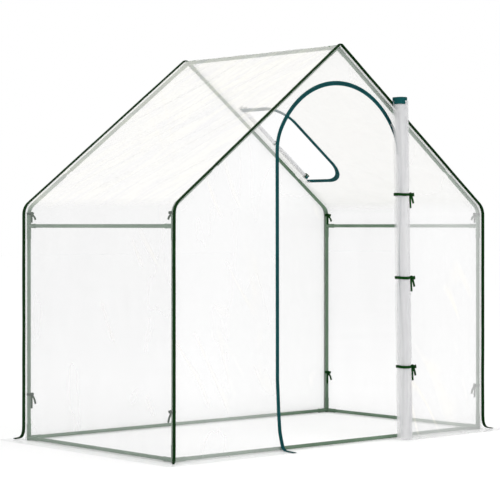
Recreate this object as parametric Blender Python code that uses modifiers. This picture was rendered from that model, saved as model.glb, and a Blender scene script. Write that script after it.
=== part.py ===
"""Mini walk-in greenhouse: a tube frame pushed together with socket connectors, under a clear film cover with
a roll-up door in the front gable and a roll-up window in the right roof slope.

Metres, +Z up. The origin is on the ground at the middle of the footprint, +X is to the right seen from the
door, +Y runs from the door's gable to the rear gable."""

import math

import bmesh
import bpy
from mathutils import Matrix, Vector

# Frame: where the tubes' centre lines run
POST_X = 0.889
POST_Y = 0.497
EAVE_Z = 1.001  # where the lines of post and rafter would cross
RIDGE_Z = 1.681
RAIL_Z = 0.925
BASE_Z = 0.0105
EAVE_BEND = 0.055

# Tubes and sockets
TUBE_R = 0.008
BORE_R = 0.0085
SOCKET_R = 0.0093
BEAD_R = 0.0099
BEAD = 0.004
NECK_R = 0.0056
NECK_BORE_R = 0.0063
NECK_BORE_DEPTH = 0.036
NECK_IN = 0.030  # how far a neck reaches into the next tube
SPLICE_BEAD_R = 0.0088
CORNER_SOCKET = 0.058
TEE_DOWN = 0.055
TEE_UP = 0.047
TEE_BRANCH = 0.048
RIDGE_SOCKET = 0.050
BORE_START = 0.014  # from the connector's centre
CORE = 0.006  # half the solid middle of the tee's sleeve
GAP = 0.0003
CHAMFER = 0.0006
TUBE_SIDES = 16
SOCKET_SIDES = 16

# Joints between tubes
RAFTER_END = 0.838  # down the slope from the ridge
SHOULDER = 0.878  # where the eave tube is full size again
LEFT_SPLICE_Y = 0.033
RIGHT_SPLICE_Y = 0.033
REAR_SPLICE_X = 0.098
FRONT_SPLICE_X = -0.357
SPLICE_GAP = 0.001

# Cover
FILM_T = 0.0012
FILM_OFF = 0.0113  # from the tubes' centre lines to the film's inner face
SKIRT = 0.090
MITRE = 0.088  # how far the skirt's ends run out at a corner
BIND_T = 0.003
BIND_W = 0.016
FLARE = 0.040
TAPE_W = 0.018

# Doorway and its rolled flap
DOOR_X = 0.001
DOOR_HALF = 0.355
DOOR_FOOT = ((-0.315, 0.004), (-0.3235, 0.027), (-0.3333, 0.053), (-0.3394, 0.082), (-0.3455, 0.154), (-0.3525, 0.293))
ARCH_Z = 1.153
ARCH_R = 0.375
ARCH_SIDE_R = 0.200
ROLL_R = 0.036
ROLL_Y = -0.5622
ROLL_FOOT = (0.3415, 0.005)
ROLL_TOP = (0.3146, 1.482)
DOOR_TIES = {"top": 1.061, "middle": 0.7015, "bottom": 0.317}

# Roof window and its rolled flap; s is the distance down the slope from the ridge
WINDOW_S = (0.369, 0.906)
WINDOW_Y = (0.178, 0.455)
WINDOW_TOP_R = 0.11
WINDOW_FOOT_R = 0.13
WINDOW_ROLL_R = 0.012
WINDOW_ROLL_Y = 0.467
WINDOW_TAPE_W = 0.014

# Ribbons
RIBBON_W = 0.010
RIBBON_T = 0.0012
POST_TIE_Z = {"upper": 0.9775, "lower": 0.198}

SLOPE = math.atan2(RIDGE_Z - EAVE_Z, POST_X)
BEND_ANGLE = math.pi / 2 - SLOPE
BEND_TANGENT = EAVE_BEND * math.tan(BEND_ANGLE / 2)
BEND_STEPS = 6
SLOPE_LENGTH = math.hypot(POST_X, RIDGE_Z - EAVE_Z)
FILM_MID = FILM_OFF + FILM_T / 2
FACE_Y = POST_Y + FILM_MID
FACE_OUT = POST_Y + FILM_OFF + FILM_T


def clear_scene():
    for obj in list(bpy.data.objects):
        bpy.data.objects.remove(obj, do_unlink=True)


def make_collection(name, hidden=False):
    collection = bpy.data.collections.new(name)
    bpy.context.scene.collection.children.link(collection)
    collection.hide_render = hidden
    return collection


def make_material(name, colour, roughness, metallic=0.0, alpha=1.0):
    material = bpy.data.materials.new(name)
    material.use_nodes = True
    shader = material.node_tree.nodes["Principled BSDF"]
    shader.inputs["Base Color"].default_value = (*colour, 1.0)
    shader.inputs["Roughness"].default_value = roughness
    shader.inputs["Metallic"].default_value = metallic
    shader.inputs["Alpha"].default_value = alpha
    return material


clear_scene()
PARTS = make_collection("mini_greenhouse")
CUTTERS = make_collection("cutters", hidden=True)
STEEL = make_material("green_painted_steel", (0.075, 0.150, 0.085), 0.35, 0.2)
FILM = make_material("clear_film", (0.93, 0.94, 0.94), 0.12, 0.0, 0.35)
BINDING = make_material("dark_green_binding", (0.004, 0.040, 0.006), 0.80)
TAPE = make_material("teal_zip_tape", (0.010, 0.110, 0.110), 0.75)
RIBBON = make_material("green_ribbon", (0.004, 0.055, 0.006), 0.70)
METAL = make_material("zip_slider_metal", (0.45, 0.46, 0.46), 0.30, 1.0)


def add(name, data, material, collection=None):
    obj = bpy.data.objects.new(name, data)
    (collection or PARTS).objects.link(obj)
    if material and not data.materials:
        data.materials.append(material)
    if collection is CUTTERS:
        obj.hide_render = True
        obj.display_type = "WIRE"
    return obj


def aim(obj, start, direction, spin=0.0):
    """Puts obj's origin at start with its +Z along direction."""
    turn = Vector(direction).to_track_quat("Z", "Y").to_matrix().to_4x4()
    obj.matrix_world = Matrix.Translation(start) @ turn @ Matrix.Rotation(spin, 4, "Z")
    return obj


def evaluated_mesh(obj):
    bpy.context.view_layer.update()
    graph = bpy.context.evaluated_depsgraph_get()
    return bpy.data.meshes.new_from_object(obj.evaluated_get(graph))


def smooth(mesh):
    mesh.shade_smooth()
    mesh.set_sharp_from_angle(angle=math.radians(40))


def turned(name, profile, sides, material=None, collection=None, closed=False):
    """A profile of (radius, height) from top to bottom, turned about Z."""
    mesh = bpy.data.meshes.new(name)
    edges = [(i, i + 1) for i in range(len(profile) - 1)]
    if closed:
        edges.append((len(profile) - 1, 0))
    mesh.from_pydata([(r, 0.0, z) for r, z in profile], edges, [])
    obj = add(name, mesh, material, collection)
    screw = obj.modifiers.new("turn", "SCREW")
    screw.steps = screw.render_steps = sides
    screw.use_merge_vertices = True
    screw.merge_threshold = 0.00001
    screw.use_smooth_shade = True
    return obj


def join(obj, other, operation):
    modifier = obj.modifiers.new(operation.lower(), "BOOLEAN")
    modifier.operation = operation
    modifier.object = other
    return obj


def block(name, size, centre, tilt=0.0, material=None, collection=None):
    """A box turned by tilt about Y, with its own top end at centre when it hangs."""
    mesh = bpy.data.meshes.new(name)
    bm = bmesh.new()
    bmesh.ops.create_cube(bm, size=1.0)
    bmesh.ops.scale(bm, vec=size, verts=bm.verts)
    bm.to_mesh(mesh)
    bm.free()
    obj = add(name, mesh, material, collection)
    obj.matrix_world = Matrix.Translation(centre) @ Matrix.Rotation(tilt, 4, "Y")
    return obj


# ---------------------------------------------------------------- connectors


def socket_profile(low, high, bead_low=False, bead_high=True):
    points = [(0.0, high)]
    if bead_high:
        points += [(BEAD_R, high), (BEAD_R, high - BEAD), (SOCKET_R, high - BEAD - CHAMFER)]
    else:
        points += [(SOCKET_R, high)]
    if bead_low:
        points += [(SOCKET_R, low + BEAD + CHAMFER), (BEAD_R, low + BEAD), (BEAD_R, low)]
    else:
        points += [(SOCKET_R, low)]
    return points + [(0.0, low)]


def connector_mesh(name, sockets, bores, hub=False):
    """Sockets are (direction, low, high, beads at low and high); bores are (direction, from, to)."""
    pieces = []
    for i, (direction, low, high, bead_low, bead_high) in enumerate(sockets):
        profile = socket_profile(low, high, bead_low, bead_high)
        piece = turned(f"{name}_socket_{i}", profile, SOCKET_SIDES, None, CUTTERS)
        pieces.append(aim(piece, (0, 0, 0), direction))
    body = pieces[0]
    for piece in pieces[1:]:
        join(body, piece, "UNION")
    if hub:
        mesh = bpy.data.meshes.new(f"{name}_hub")
        bm = bmesh.new()
        bmesh.ops.create_uvsphere(bm, u_segments=16, v_segments=10, radius=BEAD_R)
        bm.to_mesh(mesh)
        bm.free()
        join(body, add(f"{name}_hub", mesh, None, CUTTERS), "UNION")
    for i, (direction, start, end) in enumerate(bores):
        profile = [(0.0, end), (BORE_R, end), (BORE_R, start), (0.0, start)]
        bore = turned(f"{name}_bore_{i}", profile, SOCKET_SIDES, None, CUTTERS)
        join(body, aim(bore, (0, 0, 0), direction), "DIFFERENCE")
    mesh = evaluated_mesh(body)
    mesh.transform(body.matrix_world)
    mesh.materials.append(STEEL)
    smooth(mesh)
    return mesh


def corner_connectors():
    """Three sockets at each foot: up, and along both bottom rails."""
    past = CORNER_SOCKET + 0.01
    mesh = connector_mesh(
        "corner",
        [
            ((0, 0, 1), -BASE_Z, CORNER_SOCKET, False, True),
            ((1, 0, 0), 0.0, CORNER_SOCKET, False, True),
            ((0, 1, 0), 0.0, CORNER_SOCKET, False, True),
        ],
        [((0, 0, 1), BORE_START, past), ((1, 0, 0), BORE_START, past), ((0, 1, 0), BORE_START, past)],
    )
    turns = {("left", "front"): 0, ("right", "front"): 90, ("right", "rear"): 180, ("left", "rear"): 270}
    for (side, end), turn in turns.items():
        obj = add(f"corner_connector_{end}_{side}", mesh, STEEL)
        obj.location = (SIDES[side] * POST_X, ENDS[end] * POST_Y, BASE_Z)
        obj.rotation_euler = (0, 0, math.radians(turn))


def eave_tees():
    """A sleeve on each post with one branch that holds the side rail."""
    past = TEE_BRANCH + 0.01
    mesh = connector_mesh(
        "tee",
        [((0, 0, 1), -TEE_DOWN, TEE_UP, True, True), ((0, 1, 0), 0.0, TEE_BRANCH, False, True)],
        [
            ((0, 0, 1), CORE, TEE_UP + 0.01),
            ((0, 0, 1), -TEE_DOWN - 0.01, -CORE),
            ((0, 1, 0), BORE_START, past),
        ],
    )
    for side, sx in SIDES.items():
        for end, sy in ENDS.items():
            obj = add(f"eave_tee_{end}_{side}", mesh, STEEL)
            obj.location = (sx * POST_X, sy * POST_Y, RAIL_Z)
            obj.rotation_euler = (0, 0, math.pi if sy > 0 else 0.0)


def ridge_connectors():
    """Two sockets down the rafters and one along the ridge bar."""
    past = RIDGE_SOCKET + 0.01
    down_right = (math.cos(SLOPE), 0, -math.sin(SLOPE))
    down_left = (-math.cos(SLOPE), 0, -math.sin(SLOPE))
    mesh = connector_mesh(
        "ridge",
        [
            ((0, 1, 0), -SOCKET_R, RIDGE_SOCKET, False, True),
            (down_right, 0.0, RIDGE_SOCKET, False, True),
            (down_left, 0.0, RIDGE_SOCKET, False, True),
        ],
        [((0, 1, 0), BORE_START, past), (down_right, BORE_START, past), (down_left, BORE_START, past)],
        hub=True,
    )
    for end, sy in ENDS.items():
        obj = add(f"ridge_connector_{end}", mesh, STEEL)
        obj.location = (0, sy * POST_Y, RIDGE_Z)
        obj.rotation_euler = (0, 0, math.pi if sy > 0 else 0.0)


# --------------------------------------------------------------------- tubes


def tube_profile(length, end):
    """From the end at height length down to the plain end at 0."""
    if end == "neck":
        top = [(0.0, length + NECK_IN), (NECK_R, length + NECK_IN), (NECK_R, length)]
        top += [(TUBE_R, length - 0.002)]
    elif end == "bore":
        top = [(0.0, length - NECK_BORE_DEPTH), (NECK_BORE_R, length - NECK_BORE_DEPTH), (NECK_BORE_R, length)]
        top += [(SPLICE_BEAD_R, length), (SPLICE_BEAD_R, length - 0.003), (TUBE_R, length - 0.004)]
    else:
        top = [(0.0, length), (TUBE_R - CHAMFER, length), (TUBE_R, length - CHAMFER)]
    return top + [(TUBE_R, CHAMFER), (TUBE_R - CHAMFER, 0.0), (0.0, 0.0)]


def straight_tube(name, start, finish, end="plain"):
    start, finish = Vector(start), Vector(finish)
    run = finish - start
    obj = turned(name, tube_profile(run.length, end), TUBE_SIDES, STEEL)
    return aim(obj, start, run)


def posts():
    for side, sx in SIDES.items():
        for end, sy in ENDS.items():
            x, y = sx * POST_X, sy * POST_Y
            foot = BASE_Z + BORE_START + GAP
            straight_tube(f"post_{end}_{side}", (x, y, foot), (x, y, RAIL_Z - CORE - GAP))


def on_slope(s, sx, y):
    """A point on the rafter's centre line, s down the slope."""
    return Vector((sx * s * math.cos(SLOPE), y, RIDGE_Z - s * math.sin(SLOPE)))


def eave_tubes():
    """Each rises from the tee, bends into the slope and ends in a swaged neck inside the rafter."""
    for side, sx in SIDES.items():
        for end, sy in ENDS.items():
            y = sy * POST_Y
            points = [(Vector((sx * POST_X, y, RAIL_Z + CORE + GAP)), 1.0)]
            for i in range(BEND_STEPS + 1):
                angle = BEND_ANGLE * i / BEND_STEPS
                x = POST_X - EAVE_BEND + EAVE_BEND * math.cos(angle)
                z = EAVE_Z - BEND_TANGENT + EAVE_BEND * math.sin(angle)
                points.append((Vector((sx * x, y, z)), 1.0))
            neck = NECK_R / TUBE_R
            points.append((on_slope(SHOULDER, sx, y), 1.0))
            points.append((on_slope(SHOULDER - 0.003, sx, y), neck))
            points.append((on_slope(RAFTER_END - NECK_IN, sx, y), neck))
            curve = bpy.data.curves.new(f"eave_tube_{end}_{side}", "CURVE")
            curve.dimensions = "3D"
            curve.bevel_depth = TUBE_R
            curve.bevel_resolution = 6
            curve.use_fill_caps = True
            spline = curve.splines.new("POLY")
            spline.points.add(len(points) - 1)
            for point, (place, radius) in zip(spline.points, points):
                point.co = (*place, 1.0)
                point.radius = radius
            add(f"eave_tube_{end}_{side}", curve, STEEL)


def rafters():
    for side, sx in SIDES.items():
        for end, sy in ENDS.items():
            y = sy * POST_Y
            top = on_slope(BORE_START + GAP, sx, y)
            straight_tube(f"rafter_{end}_{side}", top, on_slope(RAFTER_END, sx, y), "bore")


def long_bars():
    reach = POST_Y - BORE_START - GAP
    straight_tube("ridge_bar", (0, -reach, RIDGE_Z), (0, reach, RIDGE_Z))
    for side, sx in SIDES.items():
        x = sx * POST_X
        straight_tube(f"side_rail_{side}", (x, -reach, RAIL_Z), (x, reach, RAIL_Z))


def bottom_rails():
    """Two lengths on each side, one swaged into the other."""
    reach_y = POST_Y - BORE_START - GAP
    reach_x = POST_X - BORE_START - GAP
    for side, splice in (("left", LEFT_SPLICE_Y), ("right", RIGHT_SPLICE_Y)):
        x = SIDES[side] * POST_X
        low, high = splice - SPLICE_GAP / 2, splice + SPLICE_GAP / 2
        straight_tube(f"bottom_rail_{side}_front", (x, -reach_y, BASE_Z), (x, low, BASE_Z), "bore")
        straight_tube(f"bottom_rail_{side}_rear", (x, reach_y, BASE_Z), (x, high, BASE_Z), "neck")
    for end, splice in (("front", FRONT_SPLICE_X), ("rear", REAR_SPLICE_X)):
        y = ENDS[end] * POST_Y
        low, high = splice - SPLICE_GAP / 2, splice + SPLICE_GAP / 2
        straight_tube(f"bottom_rail_{end}_left", (-reach_x, y, BASE_Z), (low, y, BASE_Z), "bore")
        straight_tube(f"bottom_rail_{end}_right", (reach_x, y, BASE_Z), (high, y, BASE_Z), "neck")


# ---------------------------------------------------------------- film cover


def gable_line(offset, foot_z):
    """Half the frame's outline moved out by offset, as (x, z) from the foot to the ridge."""
    points = [(POST_X + offset, foot_z)]
    for i in range(BEND_STEPS + 1):
        angle = BEND_ANGLE * i / BEND_STEPS
        x = POST_X - EAVE_BEND + (EAVE_BEND + offset) * math.cos(angle)
        z = EAVE_Z - BEND_TANGENT + (EAVE_BEND + offset) * math.sin(angle)
        points.append((x, z))
    return points + [(0.0, RIDGE_Z + offset / math.cos(SLOPE))]


def arc(centre, radius, start, end, steps):
    """Points on an arc, angles in degrees."""
    angles = [math.radians(start + (end - start) * i / steps) for i in range(steps + 1)]
    return [(centre[0] + radius * math.cos(a), centre[1] + radius * math.sin(a)) for a in angles]


def doorway_line(foot_z):
    """The doorway's edge as (x, z), up the left side, over the three-centred arch and down the right side.
    The left edge comes in a little towards the ground."""
    reach = DOOR_HALF - ARCH_SIDE_R
    rise = math.sqrt((ARCH_R - ARCH_SIDE_R) ** 2 - reach**2)
    turn = math.degrees(math.atan2(rise, reach))
    left = arc((DOOR_X - reach, ARCH_Z + rise), ARCH_SIDE_R, 180, 180 - turn, 4)
    middle = arc((DOOR_X, ARCH_Z), ARCH_R, 180 - turn, turn, 18)
    right = arc((DOOR_X + reach, ARCH_Z + rise), ARCH_SIDE_R, turn, 0, 4)
    foot = [(DOOR_FOOT[0][0], foot_z)] + [point for point in DOOR_FOOT if point[1] > foot_z + 0.01]
    return foot + left[:-1] + middle + right[1:] + [(DOOR_X + DOOR_HALF, foot_z)]


def solidify(obj, thickness):
    modifier = obj.modifiers.new("thickness", "SOLIDIFY")
    modifier.thickness = thickness
    modifier.offset = 0.0
    modifier.use_even_offset = True
    return obj


def gable_panels():
    """Flat film on each gable, with the skirt that lies outward on the ground."""
    foot_z = FILM_T / 2
    half = gable_line(FILM_OFF - GAP, foot_z)
    outline = [(-x, z) for x, z in half] + half[-2::-1]
    foot_x = half[0][0]
    for end, sy in ENDS.items():
        line = outline + (doorway_line(foot_z)[::-1] if end == "front" else [])
        bm = bmesh.new()
        verts = [bm.verts.new((x, sy * FACE_Y, z)) for x, z in line]
        bm.faces.new(verts)
        if end == "front":
            feet = [(verts[0], verts[-1]), (verts[len(outline)], verts[len(outline) - 1])]
        else:
            feet = [(verts[0], verts[len(outline) - 1])]
        for a, b in feet:
            edge = [a, b]
            for vert in (b, a):
                line = []
                x = vert.co.x
                if abs(abs(x) - foot_x) < 1e-6:
                    line.append(bm.verts.new((x, sy * (FACE_OUT + 0.001), foot_z)))
                    x += math.copysign(MITRE - GAP, x)
                line.append(bm.verts.new((x, sy * (FACE_OUT + SKIRT), foot_z)))
                edge += line if vert is b else line[::-1]
            bm.faces.new(edge)
        bmesh.ops.recalc_face_normals(bm, faces=bm.faces)
        mesh = bpy.data.meshes.new(f"{end}_gable_panel")
        bm.to_mesh(mesh)
        bm.free()
        solidify(add(f"{end}_gable_panel", mesh, FILM), FILM_T)


def strip(name, lefts, rights, thickness, material):
    """A band between two lines of points."""
    bm = bmesh.new()
    a = [bm.verts.new(p) for p in lefts]
    b = [bm.verts.new(p) for p in rights]
    for i in range(len(a) - 1):
        bm.faces.new((a[i], a[i + 1], b[i + 1], b[i]))
    mesh = bpy.data.meshes.new(name)
    bm.to_mesh(mesh)
    bm.free()
    return solidify(add(name, mesh, material), thickness)


def side_walls():
    """From the skirt's edge up the wall and round the eave to where the slope begins."""
    line = gable_line(FILM_MID, FILM_T / 2)[:-1]
    for side, sx in SIDES.items():
        profile = [(line[0][0] + SKIRT, FILM_T / 2, FACE_OUT + MITRE)] + [(x, z, FACE_OUT) for x, z in line]
        lefts = [(sx * x, -y, z) for x, z, y in profile]
        rights = [(sx * x, y, z) for x, z, y in profile]
        strip(f"{side}_wall_film", lefts, rights, FILM_T, FILM)


def flat_curve(name, outlines, thickness, material):
    curve = bpy.data.curves.new(name, "CURVE")
    curve.dimensions = "2D"
    curve.fill_mode = "BOTH"
    curve.extrude = thickness / 2
    for outline in outlines:
        spline = curve.splines.new("POLY")
        spline.points.add(len(outline) - 1)
        for point, (x, y) in zip(spline.points, outline):
            point.co = (x, y, 0.0, 1.0)
        spline.use_cyclic_u = True
    return add(name, curve, material)


def slope_matrix(sx, offset):
    """Local X runs down the slope from the ridge, local Y along the ridge, offset above the rafters' centres."""
    down = Vector((sx * math.cos(SLOPE), 0, -math.sin(SLOPE)))
    along = Vector((0, 1, 0))
    up = Vector((sx * math.sin(SLOPE), 0, math.cos(SLOPE)))
    turn = Matrix((down, along * sx, up)).transposed().to_4x4()
    return Matrix.Translation((0, 0, RIDGE_Z + offset / math.cos(SLOPE))) @ turn


def window_line(grow=0.0):
    """The window's edge as (s, y): from the rear top corner over the front edge to the rear foot corner."""
    top, foot = WINDOW_S
    front, rear = WINDOW_Y
    upper = arc((top + WINDOW_TOP_R, front + WINDOW_TOP_R), WINDOW_TOP_R + grow, 180, 270, 10)
    lower = arc((foot - WINDOW_FOOT_R, front + WINDOW_FOOT_R), WINDOW_FOOT_R + grow, 270, 360, 10)
    return [(top - grow, rear)] + upper + lower + [(foot + grow, rear)]


def roof_slopes():
    ridge_s = FILM_MID * math.tan(SLOPE)  # the film's apex is this far up its own slope
    start = FILM_T / 2 * math.tan(SLOPE) + GAP
    length = SLOPE_LENGTH - BEND_TANGENT + ridge_s - GAP
    panel = [(start, -FACE_OUT), (length, -FACE_OUT), (length, FACE_OUT), (start, FACE_OUT)]
    for side, sx in SIDES.items():
        window = [(s + ridge_s, y) for s, y in window_line()]
        outlines = [panel, window] if side == "right" else [panel]
        roof = flat_curve(f"{side}_roof_film", outlines, FILM_T, FILM)
        roof.matrix_world = slope_matrix(sx, FILM_MID)


def bindings():
    """A bound seam that stands out of each gable's edge, and spreads outward over the skirt at its feet."""
    half = gable_line(FILM_MID, 0.045)
    steps = [(0.0, 0.045), (0.0015, 0.030), (0.007, 0.016), (0.018, 0.0075), (FLARE, 0.0045)]
    diagonal = math.sqrt(0.5)
    for end, sy in ENDS.items():
        near = FACE_OUT + GAP
        flare = [(half[0][0] + out * diagonal, near + out * diagonal, z) for out, z in steps[::-1]]
        right = flare[:-1] + [(x, near, z) for x, z in half]
        path = [(-x, y, z) for x, y, z in right] + right[-2::-1]
        lefts = [(x, sy * y, z) for x, y, z in path]
        rights = [(x, sy * (y + BIND_W), z) for x, y, z in path]
        strip(f"{end}_gable_binding", lefts, rights, BIND_T, BINDING)


def shifted(line, distance):
    """The line moved sideways by distance, to its left."""
    out = []
    for i, point in enumerate(line):
        before, after = line[max(i - 1, 0)], line[min(i + 1, len(line) - 1)]
        dx, dy = after[0] - before[0], after[1] - before[1]
        size = math.hypot(dx, dy)
        out.append((point[0] - dy / size * distance, point[1] + dx / size * distance))
    return out


def door_zip_tape():
    """Up the doorway's left side and over the arch, with a tail that lies out over the skirt."""
    face = -(FACE_OUT + GAP + FILM_T / 2)
    line = doorway_line(0.040)[1:-1]
    inner, outer = shifted(line, TAPE_W / 2), shifted(line, -TAPE_W / 2)
    lefts = [(x, face, z) for x, z in inner]
    rights = [(x, face, z) for x, z in outer]
    tail = [(-0.3285, face - 0.0008, 0.033), (-0.3250, face - 0.0030, 0.014), (-0.3235, -0.5200, 0.0055)]
    tail += [(-0.3245, -0.5300, 0.0026), (-0.3290, -0.5600, 0.0026), (-0.3360, -0.5980, 0.0026)]
    for x, y, z in tail:
        lefts.insert(0, (x - TAPE_W / 2, y, z))
        rights.insert(0, (x + TAPE_W / 2, y, z))
    strip("door_zip_tape", lefts, rights, FILM_T, TAPE)


def window_zip_tape():
    """Along the window's free edge, on the film's inner face."""
    ridge_s = FILM_MID * math.tan(SLOPE)
    offset = FILM_OFF - GAP - FILM_T / 2
    line = [(s + offset * math.tan(SLOPE), y) for s, y in window_line()]
    inner, outer = shifted(line, WINDOW_TAPE_W / 2), shifted(line, -WINDOW_TAPE_W / 2)
    tape = flat_curve("window_zip_tape", [inner + outer[::-1]], FILM_T, TAPE)
    tape.matrix_world = slope_matrix(1, offset)
    return ridge_s


def flap_rolls():
    """The two flaps, rolled up, as plain rolls."""
    foot = Vector((ROLL_FOOT[0], ROLL_Y, ROLL_FOOT[1]))
    top = Vector((ROLL_TOP[0], ROLL_Y, ROLL_TOP[1]))
    for name, start, run, radius in (
        ("door_flap_roll", foot, top - foot, ROLL_R),
        ("window_flap_roll", *window_roll_axis(), WINDOW_ROLL_R),
    ):
        round_off = radius * 0.12
        length = run.length
        profile = [(0.0, length), (radius - round_off, length), (radius, length - round_off)]
        profile += [(radius, round_off), (radius - round_off, 0.0), (0.0, 0.0)]
        aim(turned(name, profile, 24 if radius > 0.02 else 16, FILM), start, run)


def window_roll_axis():
    height = FILM_OFF + FILM_T + GAP + WINDOW_ROLL_R + 0.0016
    matrix = slope_matrix(1, height)
    ridge_s = height * math.tan(SLOPE)
    low = matrix @ Vector((WINDOW_S[1] + 0.006 + ridge_s, WINDOW_ROLL_Y, 0))
    high = matrix @ Vector((WINDOW_S[0] + 0.006 + ridge_s, WINDOW_ROLL_Y, 0))
    return low, high - low


# ------------------------------------------------------------ ribbons, sliders


def tie_mesh(name, inner, outer, sides, tails):
    """A ribbon round something, with its knot and tails at local +X. Tails are (length, tilt, across)."""
    high, low = RIBBON_W / 2, -RIBBON_W / 2
    ring = turned(f"{name}_ring", [(outer, high), (outer, low), (inner, low), (inner, high)], sides, None, CUTTERS, True)
    knot_x = outer + 0.003
    knot = block(f"{name}_knot", (0.008, 0.009, RIBBON_W * 0.9), (knot_x, 0, 0), 0.0, None, CUTTERS)
    join(ring, knot, "UNION")
    for i, (length, tilt, across) in enumerate(tails):
        angle = math.radians(tilt)
        centre = (knot_x - math.sin(angle) * length / 2, across, -math.cos(angle) * length / 2)
        size = (RIBBON_T, RIBBON_W * 0.6, length)
        join(ring, block(f"{name}_tail_{i}", size, centre, angle, None, CUTTERS), "UNION")
    mesh = evaluated_mesh(ring)
    mesh.materials.append(RIBBON)
    return mesh


def ties():
    post = tie_mesh("post_tie", TUBE_R + 0.0013, TUBE_R + 0.0020, 16, [(0.030, -2, -0.0015), (0.028, -22, 0.0010)])
    for side, sx in SIDES.items():
        for end, sy in ENDS.items():
            for level, z in POST_TIE_Z.items():
                obj = add(f"post_tie_{level}_{end}_{side}", post, RIBBON)
                obj.location = (sx * POST_X, sy * POST_Y, z)
                obj.rotation_euler = (0, 0, math.atan2(-sy * math.cos(0.35), -sx * math.sin(0.35)))
    door = tie_mesh("door_tie", ROLL_R + 0.0008, ROLL_R + 0.0016, 24, [(0.050, -3, -0.002), (0.034, -16, 0.002)])
    lean = (ROLL_TOP[0] - ROLL_FOOT[0]) / (ROLL_TOP[1] - ROLL_FOOT[1])
    for level, z in DOOR_TIES.items():
        obj = add(f"door_tie_{level}", door, RIBBON)
        obj.location = (ROLL_FOOT[0] + lean * (z - ROLL_FOOT[1]), ROLL_Y, z)
        obj.rotation_euler = (0, math.atan(lean), math.radians(-41))
    window = tie_mesh("window_tie", WINDOW_ROLL_R + 0.0005, WINDOW_ROLL_R + 0.0013, 16, [(0.022, -35, 0.0)])
    start, run = window_roll_axis()
    for level, share in (("foot", 0.035), ("top", 0.965)):
        obj = add(f"window_tie_{level}", window, RIBBON)
        aim(obj, start + run * share, run, math.radians(35))


def slider_mesh():
    """A zip slider whose pull hangs at local -Z; local -Y faces away from the tape."""
    body = block("slider_body", (0.010, 0.0030, 0.013), (0, 0, 0), 0.0, None, CUTTERS)
    pull = block("slider_pull", (0.0055, 0.0012, 0.026), (0, -0.0014, -0.015), 0.0, None, CUTTERS)
    join(body, pull, "UNION")
    mesh = evaluated_mesh(body)
    mesh.materials.append(METAL)
    return mesh


def sliders():
    mesh = slider_mesh()
    door = add("door_zip_slider", mesh, METAL)
    angle = math.radians(34)
    face = -(FACE_OUT + GAP + FILM_T + GAP + 0.0015)
    place = (DOOR_X + ARCH_R * math.cos(angle), face, ARCH_Z + ARCH_R * math.sin(angle))
    door.matrix_world = Matrix.Translation(place) @ Matrix.Rotation(math.radians(-30), 4, "Y")
    window = add("window_zip_slider", mesh, METAL)
    offset = FILM_OFF - GAP - FILM_T - GAP - 0.0015
    s = WINDOW_S[1] + offset * math.tan(SLOPE)
    place = slope_matrix(1, offset) @ Vector((s, WINDOW_Y[1] - 0.012, 0))
    normal = Vector((math.sin(SLOPE), 0, math.cos(SLOPE)))
    along = Vector((0, -1, 0))
    across = normal.cross(along)
    turn = Matrix((across, normal, along)).transposed().to_4x4()
    window.matrix_world = Matrix.Translation(place) @ turn


SIDES = {"left": -1, "right": 1}
ENDS = {"front": -1, "rear": 1}

corner_connectors()
eave_tees()
ridge_connectors()
posts()
eave_tubes()
rafters()
long_bars()
bottom_rails()
gable_panels()
side_walls()
roof_slopes()
bindings()
door_zip_tape()
window_zip_tape()
flap_rolls()
ties()
sliders()
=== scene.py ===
import math
import random

import bmesh
import bpy
from mathutils import Matrix, Vector, geometry, noise


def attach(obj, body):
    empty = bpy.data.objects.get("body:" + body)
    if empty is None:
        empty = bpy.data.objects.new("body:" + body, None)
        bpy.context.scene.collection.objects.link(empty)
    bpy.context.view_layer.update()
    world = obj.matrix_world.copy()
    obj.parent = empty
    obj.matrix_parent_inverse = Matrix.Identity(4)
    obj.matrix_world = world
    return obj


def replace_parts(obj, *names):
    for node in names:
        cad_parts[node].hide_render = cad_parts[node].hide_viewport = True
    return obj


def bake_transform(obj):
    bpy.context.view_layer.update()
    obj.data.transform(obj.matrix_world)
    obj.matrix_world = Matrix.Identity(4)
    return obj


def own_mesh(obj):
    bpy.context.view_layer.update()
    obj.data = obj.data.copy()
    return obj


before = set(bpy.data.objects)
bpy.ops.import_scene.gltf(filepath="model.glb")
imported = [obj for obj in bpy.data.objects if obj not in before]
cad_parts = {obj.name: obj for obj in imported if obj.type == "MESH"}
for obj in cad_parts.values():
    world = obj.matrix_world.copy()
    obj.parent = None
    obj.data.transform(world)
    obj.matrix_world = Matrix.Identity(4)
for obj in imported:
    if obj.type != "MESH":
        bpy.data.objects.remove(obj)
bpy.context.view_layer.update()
ROOT = "greenhouse"

# The frame's own measures, as in the CAD
POST_X, POST_Y = 0.889, 0.497
EAVE_Z, RIDGE_Z, RAIL_Z = 1.001, 1.681, 0.925
EAVE_BEND, TUBE_R = 0.055, 0.008
FILM_MID, FACE_Y, FACE_OUT = 0.0119, 0.5089, 0.5095
SKIRT, MITRE = 0.090, 0.088
DOOR_X, DOOR_HALF = 0.001, 0.355
ARCH_Z, ARCH_R, ARCH_SIDE_R = 1.153, 0.375, 0.200
DOOR_FOOT = (
    (-0.315, 0.004),
    (-0.3235, 0.027),
    (-0.3333, 0.053),
    (-0.3394, 0.082),
    (-0.3455, 0.154),
    (-0.3525, 0.293),
)
WINDOW_S, WINDOW_Y = (0.369, 0.906), (0.178, 0.455)
WINDOW_TOP_R, WINDOW_FOOT_R = 0.11, 0.13
ROLL_Y, ROLL_R = -0.5622, 0.036
ROLL_FOOT, ROLL_TOP = (0.3415, 0.005), (0.3146, 1.482)
DOOR_TIES = (1.061, 0.7015, 0.317)
WINDOW_ROLL_Y, WINDOW_ROLL_H = 0.467, 0.0264
POST_TIES = (0.9775, 0.198)
SLOPE = math.atan2(RIDGE_Z - EAVE_Z, POST_X)
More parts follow.
